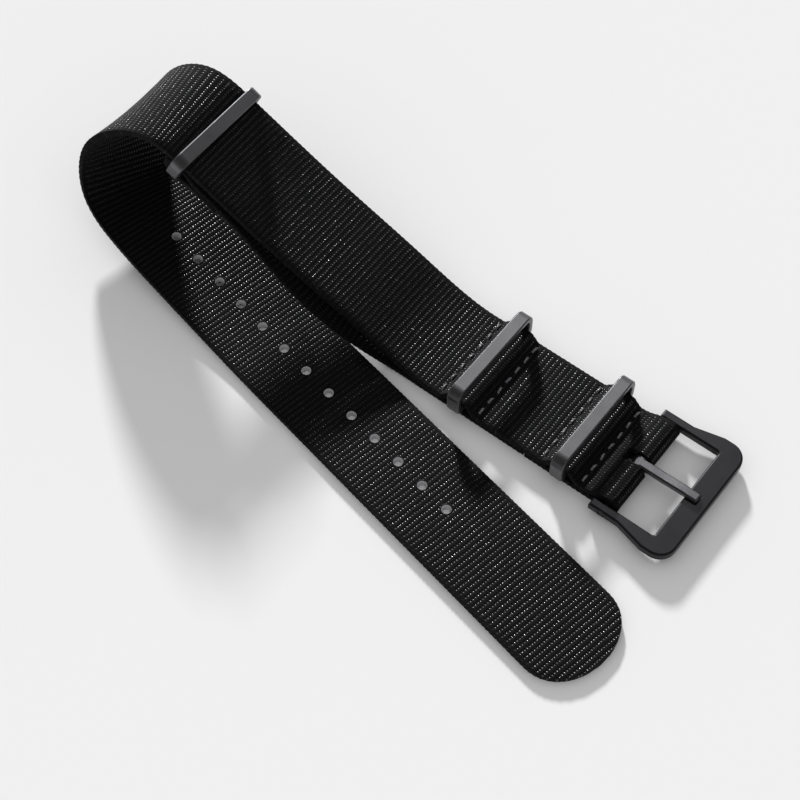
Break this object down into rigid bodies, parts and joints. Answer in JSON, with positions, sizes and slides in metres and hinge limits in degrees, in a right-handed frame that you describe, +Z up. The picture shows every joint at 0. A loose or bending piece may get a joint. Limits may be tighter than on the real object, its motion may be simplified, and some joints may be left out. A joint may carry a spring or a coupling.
{
  "type": "watch strap",
  "caption": "Pull-through woven watch strap with a pin buckle, flat metal keepers and a punched tail, lying looped on a table.",
  "frame": {"origin": "on the table under the tail's centre line, midway between its last hole and its tip", "axes": "+X along the upper run towards the buckle, +Z up from the table, +Y to the side away from the tail's tip"},
  "size_m": [0.1341, 0.057, 0.026],
  "materials": {
    "webbing": "ribbed black nylon weave with a silky sheen",
    "keeper_steel": "satin dark grey coating",
    "buckle_steel": "satin dark grey coating"
  },
  "bodies": {
    "strap": {"main_strap": "webbing", "short_strap": "webbing"},
    "keeper_near": {"keeper_1": "keeper_steel"},
    "keeper_mid": {"keeper_2": "keeper_steel"},
    "keeper_far": {"keeper_3": "keeper_steel"},
    "buckle": {"buckle_frame": "buckle_steel", "buckle_bar": "buckle_steel"},
    "prong": {"tongue": "buckle_steel"}
  },
  "joints": [
    {"name": "buckle_swing", "type": "hinge", "parent": "strap", "child": "buckle", "pos_m": [0.0031, 0.0312, 0.00215], "axis": [0, -1, 0], "range_deg": [-4, 35]},
    {"name": "tongue_lift", "type": "hinge", "parent": "buckle", "child": "prong", "pos_m": [0.0031, 0.0312, 0.00215], "axis": [0, -1, 0], "range_deg": [0, 60]},
    {"name": "keeper_1_tilt", "type": "hinge", "parent": "strap", "child": "keeper_near", "pos_m": [-0.0072, 0.0312, 0.00225], "axis": [0, 1, 0], "range_deg": [-8, 8]},
    {"name": "keeper_2_tilt", "type": "hinge", "parent": "strap", "child": "keeper_mid", "pos_m": [-0.0298, 0.0312, 0.00225], "axis": [0, 1, 0], "range_deg": [-8, 8]},
    {"name": "keeper_3_tilt", "type": "hinge", "parent": "strap", "child": "keeper_far", "pos_m": [-0.0951, 0.0312, 0.0196], "axis": [0, 1, 0], "range_deg": [-8, 8]}
  ]
}
